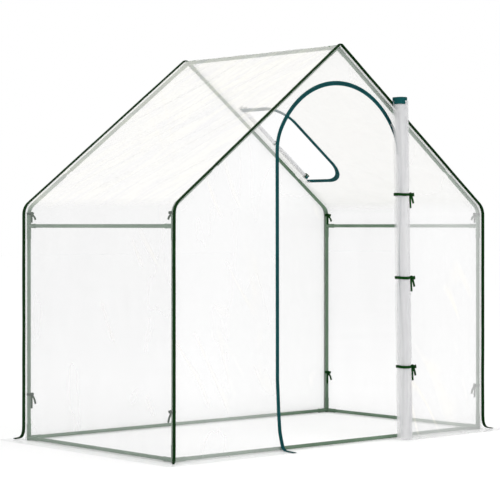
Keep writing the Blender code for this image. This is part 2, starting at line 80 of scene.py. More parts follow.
BEND_ANGLE = math.pi / 2 - SLOPE
BEND_TANGENT = EAVE_BEND * math.tan(BEND_ANGLE / 2)
SIDES = {"left": -1, "right": 1}
ENDS = {"front": -1, "rear": 1}

# The looks' own measures
FILM_STEP = 0.021  # between the points of a film sheet
NET_SEEDS = {"wrap": 4, "front": 12, "rear": 13}
POST_TIE_SEED, DOOR_TIE_SEED = 8, 5
GROUND_LIFT, RIPPLE, RIPPLES_PER_M = 0.0009, 0.0016, 14
CREASE_WIDTH = 0.24
NIP_DEPTH, NIP_LENGTH = 0.13, 0.022  # how much, and how far along, a tie pulls a roll in
DOOR_TRAVEL, WINDOW_TRAVEL = 0.62, 0.28
DOOR_WEB_Y, DOOR_WEB_INSET = -(FACE_OUT + 0.0024), 0.0085
WINDOW_TIE_SHARES = {"foot": 0.035, "middle": 0.5, "top": 0.965}
WINDOW_SEAM = 0.006  # the window roll lies this much further down than the window
STITCH_HALF, THREAD_R = 0.0019, 0.00028
TOOTH_PITCH = 0.0042
SEEN_ACROSS = Vector((0.75, -0.66, 0.0))  # from left to right in the photo
# The walls' tint is painted shade: the same clear film is darker and slightly bluish on the walls
# than on the gables and slopes.
WALL_SHADE_TINT, GABLE_TINT = (0.700, 0.700, 0.708), (0.885, 0.885, 0.890)


# --- materials


class Nodes:
    """A Principled material and short ways to add nodes to it."""

    def __init__(self, name, colour, roughness, **extra):
        self.material = bpy.data.materials.new(name)
        self.material.use_nodes = True
        self.tree = self.material.node_tree
        self.shader = self.tree.nodes["Principled BSDF"]
        self.shader.inputs["Base Color"].default_value = (*colour, 1)
        self.shader.inputs["Roughness"].default_value = roughness
        for key, value in extra.items():
            self.shader.inputs[key.replace("_", " ")].default_value = value
        self.coords = self.add("ShaderNodeTexCoord").outputs["Object"]

    def add(self, kind, **values):
        node = self.tree.nodes.new(kind)
        for key, value in values.items():
            setattr(node, key, value)
        return node

    def link(self, a, b):
        self.tree.links.new(a, b)

    def scaled(self, scale):
        node = self.add("ShaderNodeMapping")
        node.inputs["Scale"].default_value = scale
        self.link(self.coords, node.inputs["Vector"])
        return node.outputs["Vector"]

    def noise(self, scale, detail=3.0, coords=None, distortion=0.0):
        node = self.add("ShaderNodeTexNoise")
        node.inputs["Scale"].default_value = scale
        node.inputs["Detail"].default_value = detail
        node.inputs["Distortion"].default_value = distortion
        self.link(coords or self.coords, node.inputs["Vector"])
        return node.outputs["Fac"]

    def ramp(self, value, low, high, at=(0.3, 0.7)):
        """Colours or greys from low to high as value goes between the two places."""
        node = self.add("ShaderNodeValToRGB")
        for element, place, colour in zip(node.color_ramp.elements, at, (low, high)):
            colour = colour if isinstance(colour, tuple) else (colour, colour, colour)
            element.position, element.color = place, (*colour, 1)
        self.link(value, node.inputs["Fac"])
        return node.outputs["Color"]

    def feed(self, value, socket):
        """Set a socket to a number or a colour, or link an output to it."""
        if isinstance(value, tuple):
            socket.default_value = (*value, 1)
        elif isinstance(value, (int, float)):
            socket.default_value = value
        else:
            self.link(value, socket)

    def math(self, operation, a, b=0.0):
        node = self.add("ShaderNodeMath", operation=operation)
        for socket, value in zip(node.inputs, (a, b)):
            self.feed(value, socket)
        return node.outputs[0]

    def mixed(self, share, low, high):
        """From one colour to the other by share."""
        node = self.add("ShaderNodeMix", data_type="RGBA")
        sockets = {socket.identifier: socket for socket in node.inputs}
        for value, name in ((share, "Factor_Float"), (low, "A_Color"), (high, "B_Color")):
            self.feed(value, sockets[name])
        return next(o for o in node.outputs if o.identifier == "Result_Color")

    def along(self, direction):
        """How far a place lies along a direction."""
        node = self.add("ShaderNodeVectorMath", operation="DOT_PRODUCT")
        node.inputs[1].default_value = direction
        self.link(self.coords, node.inputs[0])
        return node.outputs["Value"]

    def combined(self, x, y, z=0.0):
        """A vector from three numbers or outputs."""
        node = self.add("ShaderNodeCombineXYZ")
        for socket, value in zip(node.inputs, (x, y, z)):
            self.feed(value, socket)
        return node.outputs[0]

    def bump(self, height, distance, strength=1.0):
        node = self.add("ShaderNodeBump")
        node.inputs["Distance"].default_value = distance
        node.inputs["Strength"].default_value = strength
        self.link(height, node.inputs["Height"])
        self.link(node.outputs["Normal"], self.shader.inputs["Normal"])

    def to(self, socket, output):
        self.link(output, self.shader.inputs[socket])


def steel_material():
    """Satin green powder paint with fine orange peel and a slight change of colour."""
    m = Nodes("painted_steel", (0.090, 0.165, 0.098), 0.34, Specular_IOR_Level=0.55)
    dark, light = (0.075, 0.140, 0.082), (0.112, 0.195, 0.120)
    m.to("Base Color", m.ramp(m.noise(5.0, 4.0), dark, light, (0.35, 0.68)))
    m.to("Roughness", m.ramp(m.noise(60.0, 5.0), 0.27, 0.44))
    m.bump(m.noise(900.0, 2.0), 0.0002, 0.35)
    return m.material


def film_base(name, colour, low, high, edge=0.10):
    """Clear film with a milky veil, whose density changes by edge where it is seen edge-on."""
    m = Nodes(name, colour, 0.16, Specular_IOR_Level=0.5)
    veil = m.noise(4.0, 3.0, m.scaled((1.0, 1.0, 0.35)), 0.3)
    facing = m.add("ShaderNodeLayerWeight")
    facing.inputs["Blend"].default_value = 0.25
    alpha = m.ramp(veil, low, high, (0.32, 0.72))
    alpha = m.math("ADD", alpha, m.math("MULTIPLY", facing.outputs["Facing"], edge))
    m.to("Roughness", m.ramp(m.noise(4.0, 3.0), 0.10, 0.24))
    return m, alpha


def wrap_film():
    """Painted shade on the walls, which are darker and bluish; painted light on the slopes, which
    are lighter, warmer and milkier.

    Long folds run over the left slope from the rear eave to the front, with painted highlights in
    warm white and painted shade in purple-grey along them.
    """
    m, alpha = film_base("film_wrap", WALL_SHADE_TINT, 0.13, 0.20)
    half_height = m.math("MULTIPLY", m.along((0, 0, 1)), 0.5)
    above = m.ramp(half_height, 0.0, 1.0, (0.492, 0.520))
    fall = Vector((0.89, -0.62, 0.68))
    across = m.along(fall.cross(Vector((-0.607, 0.0, 0.794))).normalized())
    along = m.along(fall.normalized())
    streaks = m.combined(m.math("MULTIPLY", across, 10.0), m.math("MULTIPLY", along, 1.9))
    fold = m.noise(1.0, 3.0, streaks, 2.2)
    left = m.ramp(m.math("ADD", m.along((-0.5, 0, 0)), 0.5), 0.0, 1.0, (0.490, 0.510))
    fold = m.math("ADD", m.math("MULTIPLY", m.math("SUBTRACT", fold, 0.5), left), 0.5)
    # Painted highlight and shade on the folds: warm white where they catch light, purple-grey where
    # they lie in shade.
    tint = m.ramp(fold, (0.900, 0.888, 0.890), (0.990, 0.972, 0.905), (0.36, 0.60))
    # Painted light on the slopes and painted shade on the walls: above the eave the lighter fold
    # tint, below it the darker wall tint.
    m.to("Base Color", m.mixed(above, WALL_SHADE_TINT, tint))
    denser = m.math("ADD", 0.22, m.math("MULTIPLY", fold, 0.10))
    m.to("Alpha", m.math("ADD", alpha, m.math("MULTIPLY", above, denser)))
    m.bump(fold, 0.006, 0.15)
    return m.material


def gable_film():
    """Neutral, denser low down beside the door, with a few long creases painted as cream
    highlights.
    """
    m, alpha = film_base("film_gable", GABLE_TINT, 0.22, 0.30)
    streaks = m.combined(m.along((5.5, 0, 2.6)), m.along((0, 4.0, 0)), m.along((-0.4, 0, 1.1)))
    depth = m.math("ABSOLUTE", m.math("SUBTRACT", m.noise(1.0, 0.5, streaks, 0.2), 0.5))
    # Painted highlights: thin cream glints along a few long creases, which also make the film
    # denser there.
    line = m.ramp(depth, 1.0, 0.0, (0.004, 0.034))
    line = m.math("MULTIPLY", line, m.ramp(m.noise(2.4, 2.0), 0.0, 0.8, (0.555, 0.67)))
    right = m.ramp(m.math("ADD", m.along((0.5, 0, 0)), 0.5), 0.0, 1.0, (0.62, 0.72))
    tint = m.ramp(right, GABLE_TINT, (0.905, 0.905, 0.908))
    m.to("Base Color", m.mixed(line, tint, (0.995, 0.955, 0.860)))
    low_down = m.ramp(m.along((0, 0, 0.5)), 1.0, 0.0, (0.49, 0.54))
    denser = m.math("MULTIPLY", m.math("MULTIPLY", right, low_down), 0.19)
    m.to("Alpha", m.math("ADD", m.math("ADD", alpha, denser), m.math("MULTIPLY", line, 0.16)))
    m.bump(m.noise(4.0, 3.0, m.scaled((1.0, 1.0, 0.3))), 0.003, 0.12)
    return m.material


def roll_film():
    """The same film wound up, cooler and streaked along the roll."""
    m, alpha = film_base("film_rolled", (0.80, 0.80, 0.815), 0.33, 0.41, -0.34)
    folds = m.noise(3.0, 5.0, m.scaled((14.0, 14.0, 0.8)), 0.6)
    m.to("Base Color", m.ramp(folds, (0.74, 0.74, 0.755), (0.86, 0.86, 0.865), (0.35, 0.65)))
    m.to("Alpha", alpha)
    m.bump(folds, 0.003, 0.3)
    return m.material


def woven_material(name, dark, light, count):
    """Narrow woven tape: ribs both ways, with painted shade in the grooves between them and a
    slight change of colour along it.
    """
    m = Nodes(name, dark, 0.72, Specular_IOR_Level=0.08)
    uv = m.add("ShaderNodeUVMap").outputs["UV"]
    ribs = []
    for axis in "XY":
        wave = m.add("ShaderNodeTexWave", wave_type="BANDS", bands_direction=axis)
        wave.wave_profile = "SIN"
        wave.inputs["Scale"].default_value = count
        m.link(uv, wave.inputs["Vector"])
        ribs.append(wave.outputs["Fac"])
    height = m.math("MAXIMUM", *ribs)
    # Painted shade: the grooves between the ribs are darker than their tops; the noise adds a
    # change of tone along the tape.
    colour = m.math("MULTIPLY", height, m.noise(14.0, 3.0))
    m.to("Base Color", m.ramp(colour, dark, light, (0.15, 0.65)))
    m.bump(height, 0.0004, 0.6)
    return m.material


def plain_material(name, colour, roughness, metallic=0.0, scale=300.0, gloss=0.5):
    """An even surface with a fine grain."""
    m = Nodes(name, colour, roughness, Metallic=metallic, Specular_IOR_Level=gloss)
    low, high = roughness * 0.75, min(1.0, roughness * 1.35)
    m.to("Roughness", m.ramp(m.noise(scale * 0.3, 4.0), low, high))
    m.bump(m.noise(scale, 3.0), 0.0001, 0.5)
    return m.material


STEEL = steel_material()
WALL_FILM = wrap_film()
FRONT_FILM = gable_film()
ROLL_FILM = roll_film()
BINDING = woven_material("binding_weave", (0.0006, 0.016, 0.0010), (0.0018, 0.036, 0.0028), 700.0)
TAPE = woven_material("zip_tape_weave", (0.002, 0.052, 0.056), (0.007, 0.100, 0.104), 700.0)
RIBBON = woven_material("ribbon_weave", (0.0010, 0.024, 0.0016), (0.0040, 0.055, 0.0055), 900.0)
COIL = plain_material("zip_coil_nylon", (0.002, 0.046, 0.050), 0.55, gloss=0.15)
METAL = plain_material("slider_zinc", (0.42, 0.43, 0.43), 0.30, 1.0, 500.0)
THREAD = plain_material("thread", (0.004, 0.050, 0.006), 0.6, gloss=0.1)


# --- mesh helpers


def put(data, name, place=(0, 0, 0)):
    obj = bpy.data.objects.new(name, data)
    bpy.context.scene.collection.objects.link(obj)
    obj.location = place
    return obj


def add(name, mesh, material, body=ROOT, slot=None, smooth=True):
    obj = put(mesh, name)
    mesh.materials.append(material)
    if smooth:
        mesh.shade_smooth()
    if body:
        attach(obj, body)
    return obj


def mesh_of(name, points, faces, uvs=None):
    mesh = bpy.data.meshes.new(name)
    mesh.from_pydata([tuple(p) for p in points], [], faces)
    if uvs:
        layer = mesh.uv_layers.new(name="UVMap")
        for loop in mesh.loops:
            layer.data[loop.index].uv = uvs[loop.vertex_index]
    mesh.update()
    return mesh


def smoothstep(x, low=0.0, high=1.0):
    t = min(1.0, max(0.0, (x - low) / (high - low)))
    return t * t * (3 - 2 * t)


def inside(point, polygon):
    x, y = point
    found = False
    for (x1, y1), (x2, y2) in zip(polygon, polygon[1:] + polygon[:1]):
        if (y1 > y) != (y2 > y) and x < (x2 - x1) * (y - y1) / (y2 - y1) + x1:
            found = not found
    return found


def spaced(ring, step):
    """The same closed line with points about step apart."""
    out = []
    for (x1, y1), (x2, y2) in zip(ring, ring[1:] + ring[:1]):
        count = max(1, round(math.hypot(x2 - x1, y2 - y1) / step))
        out += [(x1 + (x2 - x1) * i / count, y1 + (y2 - y1) * i / count) for i in range(count)]
    return out


def distance_to(point, line):
    """From a point to the nearest place on an open line."""
    best = 1e9
    p = Vector(point)
    for a, b in zip(line, line[1:]):
        a, b = Vector(a), Vector(b)
        run = b - a
        t = max(0.0, min(1.0, (p - a).dot(run) / max(run.length_squared, 1e-12)))
        best = min(best, (a + run * t - p).length)
    return best


def heading(line, i):
    """The direction a line runs in at its point i."""
    return (line[min(i + 1, len(line) - 1)] - line[max(i - 1, 0)]).normalized()


def placed(line, pitch):
    """Places a pitch apart along a line: (place, direction, number of the point after it)."""
    travel, due = 0.0, 0.0
    for i in range(1, len(line)):
        run = line[i] - line[i - 1]
        while due < travel + run.length:
            yield line[i - 1] + run * ((due - travel) / run.length), run.normalized(), i
            due += pitch
        travel += run.length


def grid_faces(rows, columns, turned=False):
    """Quads over points listed row by row, columns + 1 to a row."""
    quads = []
    for i in range(rows):
        for a in range(i * (columns + 1), i * (columns + 1) + columns):
            quad = (a, a + columns + 1, a + columns + 2, a + 1)
            quads.append((a, *quad[:0:-1]) if turned else quad)
    return quads


def net(outline, holes, step, seed):
    """Triangles over a flat outline with holes: (points, triangles)."""
    edges, points, grid = [], [], {}
    for loop in [outline, *holes]:
        ring = spaced(loop, step)
        first = len(points)
        points += ring
        edges += [(first + i, first + (i + 1) % len(ring)) for i in range(len(ring))]
    for x, y in points:
        grid.setdefault((int(x // step), int(y // step)), []).append((x, y))

    def covered(p):
        return inside(p, outline) and not any(inside(p, hole) for hole in holes)

    spots = random.Random(seed)
    around = [(i, j) for i in (-1, 0, 1) for j in (-1, 0, 1)]
    xs, ys = [p[0] for p in outline], [p[1] for p in outline]
    row, y = 0, min(ys) + step * 0.6
    while y < max(ys):
        x = min(xs) + step * (0.5 + 0.5 * (row % 2))
        while x < max(xs):
            p = (x + spots.uniform(-0.16, 0.16) * step, y + spots.uniform(-0.16, 0.16) * step)
            column, line = int(p[0] // step), int(p[1] // step)
            near = [q for i, j in around for q in grid.get((column + i, line + j), [])]
            clear = all(math.hypot(p[0] - q[0], p[1] - q[1]) > step * 0.55 for q in near)
            if clear and covered(p):
                points.append(p)
            x += step
        y += step * 0.866
        row += 1
    found = geometry.delaunay_2d_cdt([Vector(p) for p in points], edges, [], 1, 1e-7)
    verts = [tuple(v) for v in found[0]]
    faces = []
    for face in found[2]:
        if covered([sum(verts[i][k] for i in face) / len(face) for k in (0, 1)]):
            faces.append(tuple(face))
    return verts, faces


def ridged(u, v, across, along, seed):
    """Height of long creases, 0 to 1: across is their spacing and along their length."""
    wander = noise.noise(Vector((u * 1.7, v * 1.7, seed + 9.0))) * 0.35
    value = noise.noise(Vector((u / across + wander, v / along, seed)))
    return math.exp(-((value / CREASE_WIDTH) ** 2))


# --- outlines


def arc(centre, radius, start, end, steps):
    """Points on an arc, angles in degrees."""
    angles = [math.radians(start + (end - start) * i / steps) for i in range(steps + 1)]
    return [(centre[0] + radius * math.cos(a), centre[1] + radius * math.sin(a)) for a in angles]


def gable_line(offset, foot_z, steps):
    """Up the right side of the gable and over its bend to the ridge, offset outward."""
    points = [(POST_X + offset, foot_z)]
    for i in range(steps + 1):
        angle = BEND_ANGLE * i / steps
        x = POST_X - EAVE_BEND + (EAVE_BEND + offset) * math.cos(angle)
        z = EAVE_Z - BEND_TANGENT + (EAVE_BEND + offset) * math.sin(angle)
        points.append((x, z))
    return points + [(0.0, RIDGE_Z + offset / math.cos(SLOPE))]


def doorway_line(foot_z):
    """The doorway's edge from its left foot over the arch to its right foot."""
    reach = DOOR_HALF - ARCH_SIDE_R
    rise = math.sqrt((ARCH_R - ARCH_SIDE_R) ** 2 - reach**2)
    turn = math.degrees(math.atan2(rise, reach))
    left = arc((DOOR_X - reach, ARCH_Z + rise), ARCH_SIDE_R, 180, 180 - turn, 8)
    middle = arc((DOOR_X, ARCH_Z), ARCH_R, 180 - turn, turn, 40)
    right = arc((DOOR_X + reach, ARCH_Z + rise), ARCH_SIDE_R, turn, 0, 8)
    foot = [(DOOR_FOOT[0][0], foot_z)] + [point for point in DOOR_FOOT if point[1] > foot_z + 0.01]
    return foot + left[:-1] + middle + right[1:] + [(DOOR_X + DOOR_HALF, foot_z)]


def window_line():
    """The window's free edge as (s, y), s down the slope from the ridge."""
    (top, foot), (front, rear) = WINDOW_S, WINDOW_Y
    upper = arc((top + WINDOW_TOP_R, front + WINDOW_TOP_R), WINDOW_TOP_R, 180, 270, 12)
    lower = arc((foot - WINDOW_FOOT_R, front + WINDOW_FOOT_R), WINDOW_FOOT_R, 270, 360, 12)
    return [(top, rear)] + upper + lower + [(foot, rear)]


DOOR_LOOP = doorway_line(0.0)
WINDOW_LOOP = window_line()
GABLE_HALF = gable_line(0.0, 0.0, 6)


def on_slope(s, y, height):
    """A point s down the right slope, height above the rafters' centre lines."""
    apex = Vector((0, y, RIDGE_Z + height / math.cos(SLOPE)))
    return apex + Vector((math.cos(SLOPE), 0, -math.sin(SLOPE))) * s


# --- film cover


class Profile:
    """The cover's cross-section from skirt to skirt over the ridge, by distance along it."""

    def __init__(self):
        half = gable_line(FILM_MID, 0.0012, 10)
        ridge = half.pop()
        right = [(half[0][0] + SKIRT, 0.0008), (half[0][0] + 0.006, 0.0010)] + half
        right.append((ridge[0] + 0.016, ridge[1] - 0.016 * math.tan(SLOPE)))
        right += [(0.006, ridge[1] - 0.0062), (0.0, ridge[1] - 0.0042)]
        self.points = [(-x, z) for x, z in right] + right[-2::-1]
        self.length = [0.0]
        for a, b in zip(self.points, self.points[1:]):
            self.length.append(self.length[-1] + math.hypot(b[0] - a[0], b[1] - a[1]))
        self.total = self.length[-1]

    def at(self, u):
        """((x, z), outward normal) at distance u."""
        i = 0
        while i < len(self.length) - 2 and self.length[i + 1] < u:
            i += 1
        a, b = Vector(self.points[i]), Vector(self.points[i + 1])
        t = (u - self.length[i]) / max(self.length[i + 1] - self.length[i], 1e-9)
        run = (b - a).normalized()
        return a.lerp(b, t), Vector((-run.y, run.x))

    def at_x(self, x):
        """Distance at a place on the slopes, from its x."""
        for i, (a, b) in enumerate(zip(self.points, self.points[1:])):
            if a[0] <= x <= b[0] and b[0] > a[0]:
                step = self.length[i + 1] - self.length[i]
                return self.length[i] + (x - a[0]) / (b[0] - a[0]) * step
        return 0.0


PROFILE = Profile()


def wrap_push(x, y, z):
    """How far the wrap stands off its taut shape, outward."""
    if z < 0.05:
        return 0.0
    mask = smoothstep(FACE_OUT - abs(y), 0.004, 0.10)
    if z < EAVE_Z - 0.03:  # walls
        mask *= smoothstep(abs(z - RAIL_Z), 0.0, 0.10) * smoothstep(z, 0.02, 0.16)
        creases = ridged(y * 0.8 + z * 0.5, z - y, 0.10, 0.42, 3.1 if x < 0 else 7.7)
        sway = noise.noise(Vector((y * 2.4, z * 1.6, 5.0 if x < 0 else 11.0)))
        return mask * (0.0007 * creases + 0.005 * sway)
    down = abs(x) / math.cos(SLOPE)
    mask *= smoothstep(down, 0.012, 0.12) * smoothstep(1.11 - down, 0.0, 0.12)
    if x < 0:  # creases run from the rear eave to the front of the ridge
        across = down * 0.67 - (y + 0.5) * 0.74
        along = down * 0.74 + y * 0.67
        creases = ridged(across, along, 0.075, 0.75, 21.0)
        creases += 0.6 * ridged(across + 0.1, along, 0.036, 0.40, 33.0)
        return mask * (0.0085 * creases - 0.005)
    creases = ridged(down + y * 0.4, y, 0.11, 0.55, 41.0)
    mask *= smoothstep(distance_to((down, y), WINDOW_LOOP), 0.005, 0.06)
    return mask * (0.0040 * creases - 0.003)


def on_ground(u, v, seed):
    """Height of the skirt, which ripples a little on the ground."""
    wave = noise.noise(Vector((u * RIPPLES_PER_M, v * RIPPLES_PER_M, seed)))
    return GROUND_LIFT + RIPPLE * max(0.0, wave)


def wrap_sheet():
    """Skirts, walls and both slopes in one sheet, with the window cut out of the right slope."""
    wall_foot = PROFILE.length[2]
    half = FACE_OUT + MITRE
    total = PROFILE.total
    outline = [(0.0, -half), (wall_foot, -FACE_OUT), (total - wall_foot, -FACE_OUT), (total, -half)]
    outline += [(u, -y) for u, y in outline[::-1]]
    hole = [(PROFILE.at_x(s * math.cos(SLOPE)), y) for s, y in WINDOW_LOOP]
    folds = [PROFILE.length[i] for i in range(1, len(PROFILE.length) - 1)]
    points, faces = net(outline, [hole], FILM_STEP, NET_SEEDS["wrap"])
    out = []
    for u, y in points:
        near = min(folds, key=lambda f: abs(f - u))
        if abs(near - u) < 0.004 and abs(y) < FACE_OUT - 0.004:
            u = near
        (x, z), normal = PROFILE.at(u)
        push = wrap_push(x, y, z)
        if z < 0.002:
            out.append((x, y, on_ground(x, y, 2.0)))
        else:
            out.append((x + normal.x * push, y, z + normal.y * push))
    wrap = add("film_wrap", mesh_of("film_wrap", out, faces, points), WALL_FILM, slot="clear_film")
    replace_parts(wrap, "left_wall_film", "right_wall_film", "left_roof_film", "right_roof_film")


def gable_push(x, z, end):
    """How far a gable's film stands off its flat shape, outward."""
    mask = smoothstep(distance_to((abs(x), z), GABLE_HALF), 0.004, 0.09) * smoothstep(z, 0.03, 0.12)
    if end == "rear":
        creases = ridged(x * 0.9 + z * 0.4, z, 0.16, 0.7, 51.0)
        return mask * (0.0006 * creases + 0.005 * noise.noise(Vector((x * 2, z * 2, 8.0))))
    mask *= smoothstep(distance_to((x, z), DOOR_LOOP), 0.008, 0.07)
    if x > DOOR_X + DOOR_HALF:
        creases = ridged(x, z, 0.055, 0.9, 61.0) + 0.5 * ridged(x - z * 0.2, z, 0.12, 0.35, 64.0)
        bunch = smoothstep(x, 0.70, 0.84)
        return mask * (0.0038 * creases * (0.5 + bunch))
    creases = ridged(x * 0.8 + z * 0.35, z - x * 0.3, 0.085, 0.5, 71.0)
    kinks = ridged(x - z * 0.9, z + x, 0.06, 0.14, 83.0) * smoothstep(x, -0.72, -0.45)
    sway = noise.noise(Vector((x * 3, z * 2, 4.0)))
    return mask * (0.0010 * creases + 0.0003 * kinks + 0.003 * sway)


def gable_sheets():
    """Each gable in one sheet with the skirt that turns outward on the ground."""
    half = gable_line(0.0112, 0.0, 10)
    outline = [(-x, z) for x, z in half] + half[-2::-1]
    foot = half[0][0]
    for end, sy in ENDS.items():
        flat = outline[1:-1] + [(foot, 0.0), (foot + MITRE, -SKIRT)]
        gable = 2 * 0.9 * (1.02 + 0.35) + 2 * (foot + MITRE / 2) * SKIRT
        if end == "front":
            loop = DOOR_LOOP[::-1]
            flat += [(loop[0][0], -SKIRT)] + loop + [(loop[-1][0], -SKIRT)]
            gable -= 1.0
        flat += [(-foot - MITRE, -SKIRT), (-foot, 0.0)]
        points, faces = net(flat, [], FILM_STEP, NET_SEEDS[end])
        out = []
        for x, v in points:
            if v > 0.002:
                out.append((x, sy * (FACE_Y + gable_push(x, v, end)), v + 0.0008))
            else:
                out.append((x, sy * (FACE_Y - v), on_ground(x, v, 6.0)))
        name = f"film_{end}_gable"
        sheet = add(name, mesh_of(name, out, faces, points), FRONT_FILM, slot="clear_film")
        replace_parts(sheet, f"{end}_gable_panel")
        flat = (round(2 * (foot + MITRE), 3), round(RIDGE_Z + SKIRT + 0.02, 3))


# --- bindings and zips


def tube_faces(rings, count):
    """Quads between rings of count points each, with a cap at both ends."""
    faces = []
    for i in range(rings - 1):
        for j in range(count):
            k = (j + 1) % count
            a, b = i * count, (i + 1) * count
            faces.append((a + j, a + k, b + k, b + j))
    end = (rings - 1) * count
    return faces + [tuple(range(count))[::-1], tuple(range(end, end + count))]


def sweep(name, line, profile, frames, material, slot, body=ROOT):
    """A closed profile of (a, b) carried along line; frames gives the unit vectors of a and b."""
    points, uvs, girth, travel = [], [], [0.0], 0.0
    for p, q in zip(profile, profile[1:]):
        girth.append(girth[-1] + math.hypot(q[0] - p[0], q[1] - p[1]))
    for i, (place, (a, b)) in enumerate(zip(line, frames)):
        if i:
            travel += (place - line[i - 1]).length
        for (p, q), around in zip(profile, girth):
            points.append(place + a * p + b * q)
            uvs.append((travel, around))
    mesh = mesh_of(name, points, tube_faces(len(line), len(profile)), uvs)
    bm = bmesh.new()
    bm.from_mesh(mesh)
    bmesh.ops.recalc_face_normals(bm, faces=bm.faces)
    bm.to_mesh(mesh)
    bm.free()
    return add(name, mesh, material, body, slot)


def finely(path, step):
    """3-D points about step apart along a path."""
    out = []
    for a, b in zip(path, path[1:]):
        a, b = Vector(a), Vector(b)
        count = max(1, round((b - a).length / step))
        out += [a.lerp(b, i / count) for i in range(count)]
    return out + [Vector(path[-1])]


def eased(path, rounds):
    """The path with its corners cut."""
    for _ in range(rounds):
        new = [path[0]]
        for a, b in zip(path, path[1:]):
            new += [a.lerp(b, 0.25), a.lerp(b, 0.75)]
        path = new + [path[-1]]
    return path


def bindings():
    """Folded tape sewn over each gable's seam, flaring out over the skirt at its feet."""
    flare = [(0.0, 0.060), (0.0012, 0.036), (0.0065, 0.018), (0.017, 0.0085), (0.040, 0.0050)]
    leaf = [(0.0021, 0.0), (0.0025, 0.004), (0.0023, 0.011), (0.0015, 0.0152)]
    profile = leaf + [(0.0, 0.0165)] + [(-a, b) for a, b in leaf[::-1]]
    half = gable_line(FILM_MID, 0.080, 10)
    diagonal, near = math.sqrt(0.5), FACE_OUT + 0.0002
    right = [(half[0][0] + o * diagonal, near + o * diagonal, z) for o, z in flare[::-1]]
    right += [(x, near, z) for x, z in half]
    for end, sy in ENDS.items():
        depth = 1.28 if end == "rear" else 1.0
        path = [Vector((-x, sy * y, z)) for x, y, z in right]
        path += [Vector((x, sy * y, z)) for x, y, z in right[-2::-1]]
        line = eased(finely(path, 0.020), 2)
        out = Vector((0, sy, 0))
        frames = []
        for i, place in enumerate(line):
            normal = heading(line, i).cross(out).normalized() * sy
            wave = 0.0009 * noise.noise(place * 6.0)
            swing = 0.0004 * noise.noise(place * 9.0 + Vector((3, 3, 3)))
            line[i] = place + normal * wave + out * swing
            frames.append((normal, out))
        name, slot = f"binding_{end}", "dark_green_binding"
        piece = sweep(name, line, [(a, b * depth) for a, b in profile], frames, BINDING, slot)
        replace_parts(piece, f"{end}_gable_binding")
        stitches(f"{name}_stitch", line, frames)


def stitches(name, line, frames):
    """A row of short thread stitches along a binding, on both its leaves."""
    points, faces = [], []
    for place, along, i in placed(line, 0.007):
        normal, side = frames[i]
        for sign in (1, -1):
            centre = place + normal * 0.0026 * sign + side * 0.0045
            first = len(points)
            for t, w in ((-1.0, 0.4), (-0.5, 1.0), (0.5, 1.0), (1.0, 0.4)):
                middle = centre + along * t * STITCH_HALF
                edge = side * THREAD_R * w
                points += [middle + edge, middle + normal * sign * THREAD_R * w, middle - edge]
            for base in range(first, first + 9, 3):
                faces.append((base, base + 1, base + 4, base + 3))
                faces.append((base + 1, base + 2, base + 5, base + 4))
    add(name, mesh_of(name, points, faces), THREAD, slot="dark_green_binding")


def zip_chain(name, line, ups, sides):
    """The nylon coil: a run of small round teeth on both sides of the tape's middle."""
    points, faces = [], []
    for place, along, i in placed(line, TOOTH_PITCH):
        up, side = ups[i], sides[i]
        for sign in (1, -1):
            centre = place + side * 0.0013 * sign + up * 0.0002 + along * (TOOTH_PITCH / 4 * sign)
            first = len(points)
            for j in range(5):
                angle = math.pi * j / 4
                across = side * (math.cos(angle) * 0.0014) + up * (math.sin(angle) * 0.0012)
                points.append(centre + across - along * 0.0010)
                points.append(centre + across * 0.98 + along * 0.0010)
            for base in range(first, first + 8, 2):
                faces.append((base, base + 1, base + 3, base + 2))
    add(name, mesh_of(name, points, faces), COIL, slot="teal_zip_tape")


def tape(name, line, sides, ups, width, thickness=0.0012, body=ROOT):
    """A flat zip tape with soft edges: sides and ups hold unit vectors along it."""
    w, t = width / 2, thickness / 2
    upper = [(-w * 0.93, t), (-w * 0.3, t * 1.15), (w * 0.3, t * 1.15), (w * 0.93, t)]
    profile = [(-w, 0), *upper, (w, 0), *[(a, -t) for a, _ in upper[::-1]]]
    return sweep(name, line, profile, list(zip(sides, ups)), TAPE, "teal_zip_tape", body)


def door_zip():
    """Tape and coil over the arch from behind the roll, and down to a tail over the skirt."""
    face = -(FACE_OUT + 0.0009)
    upright = [Vector((x, face, z)) for x, z in doorway_line(0.040)[1:-1]]
    tail = [(-0.3285, face - 0.0008, 0.033), (-0.3250, face - 0.0030, 0.014)]
    tail += [(-0.3235, -0.5205, 0.0055), (-0.3245, -0.5300, 0.0030)]
    tail += [(-0.3290, -0.5600, 0.0028), (-0.3350, -0.5950, 0.0028)]
    line = eased(finely(tail[::-1] + upright, 0.012), 1)
    sides, ups = [], []
    for i, place in enumerate(line):
        run = heading(line, i)
        side = Vector((run.z, 0, -run.x))
        if place.z < 0.05:
            side = Vector((1, 0, 0)) - run * run.x
        side.normalize()
        up = side.cross(run).normalized()
        if up.y > 0 or (place.z < 0.02 and up.z < 0):
            up = -up
        sides.append(side)
        ups.append(up)
    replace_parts(tape("zip_door_tape", line, sides, ups, 0.019), "door_zip_tape")
    zip_chain("zip_door_coil", [p + u * 0.0006 for p, u in zip(line, ups)], ups, sides)


def window_zip():
    """Tape and coil round the window's free edge, seen from inside through the film."""
    line = finely([on_slope(s, y, 0.0104) for s, y in WINDOW_LOOP], 0.012)
    up = Vector((-math.sin(SLOPE), 0, -math.cos(SLOPE)))
    ups = [up] * len(line)
    sides = [heading(line, i).cross(up).normalized() for i in range(len(line))]
    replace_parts(tape("zip_window_tape", line, sides, ups, 0.023, 0.0011), "window_zip_tape")
    zip_chain("zip_window_coil", [p + up * 0.0006 for p in line], ups, sides)


# --- rolls and webs


